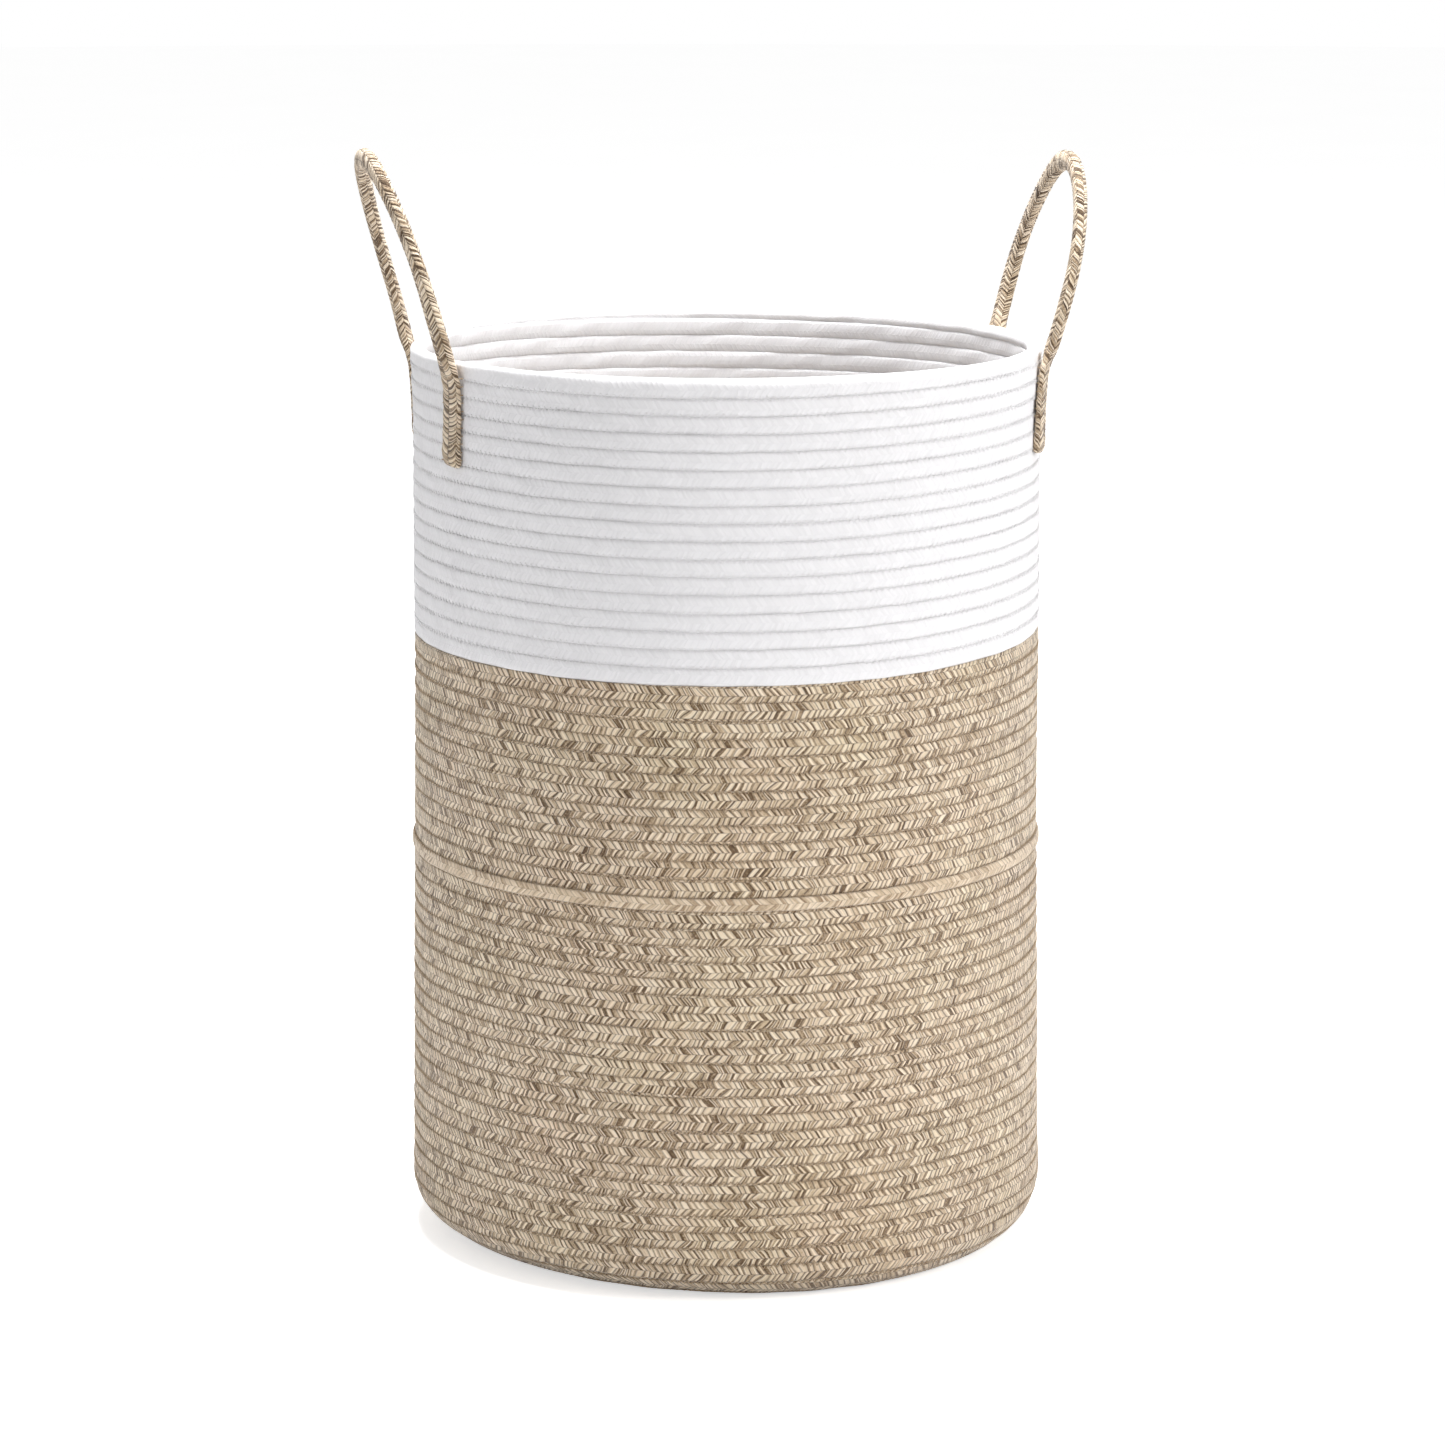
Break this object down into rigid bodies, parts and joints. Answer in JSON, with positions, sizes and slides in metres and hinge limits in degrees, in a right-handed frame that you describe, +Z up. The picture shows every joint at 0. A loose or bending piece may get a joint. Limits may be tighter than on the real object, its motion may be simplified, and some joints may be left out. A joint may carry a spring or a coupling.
{
  "type": "woven laundry basket",
  "caption": "Tall round laundry basket sewn from coiled cotton rope, white above and tan melange below, with two standing rope loop handles sewn to the outside.",
  "frame": {"origin": "centre of the flat underside, on the floor", "axes": "+Z up out of the mouth; +X through the right handle; -Y is the side seen from the front"},
  "size_m": [0.4359, 0.3836, 0.6597],
  "materials": {
    "melange_rope": "matte braided cotton, tan with dark brown flecks",
    "white_rope": "matte braided cotton, bleached white",
    "handle_rope": "matte braided cotton, tan with dark brown flecks",
    "sewing_thread": "brown polyester sewing thread",
    "white_thread": "white polyester sewing thread"
  },
  "bodies": {
    "basket": {"base_coil": "melange_rope", "heel_coils": "melange_rope", "lower_wall_coils": "melange_rope", "crease_coil": "melange_rope", "middle_wall_coils": "melange_rope", "upper_wall_coils": "white_rope", "rim_coil": "white_rope", "base_stitching": "sewing_thread", "lower_wall_stitching": "sewing_thread", "upper_wall_stitching": "white_thread", "handle_left_tail_front": "handle_rope", "handle_left_tail_rear": "handle_rope", "handle_right_tail_front": "handle_rope", "handle_right_tail_rear": "handle_rope", "handle_left_stitching": "sewing_thread", "handle_right_stitching": "sewing_thread"},
    "handle_left": {"handle_left_loop": "handle_rope"},
    "handle_right": {"handle_right_loop": "handle_rope"}
  },
  "joints": [
    {"name": "handle_left_swing", "type": "hinge", "parent": "basket", "child": "handle_left", "pos_m": [-0.18441, -0.00579, 0.5479], "axis": [0.0314, -0.9995, 0], "range_deg": [-100, 120], "stiffness_Nm_per_rad": 0.12, "springref_deg": -3.44},
    {"name": "handle_right_swing", "type": "hinge", "parent": "basket", "child": "handle_right", "pos_m": [0.18441, -0.00579, 0.5479], "axis": [0.0314, 0.9995, 0], "range_deg": [-100, 120], "stiffness_Nm_per_rad": 0.12, "springref_deg": -2.86}
  ]
}
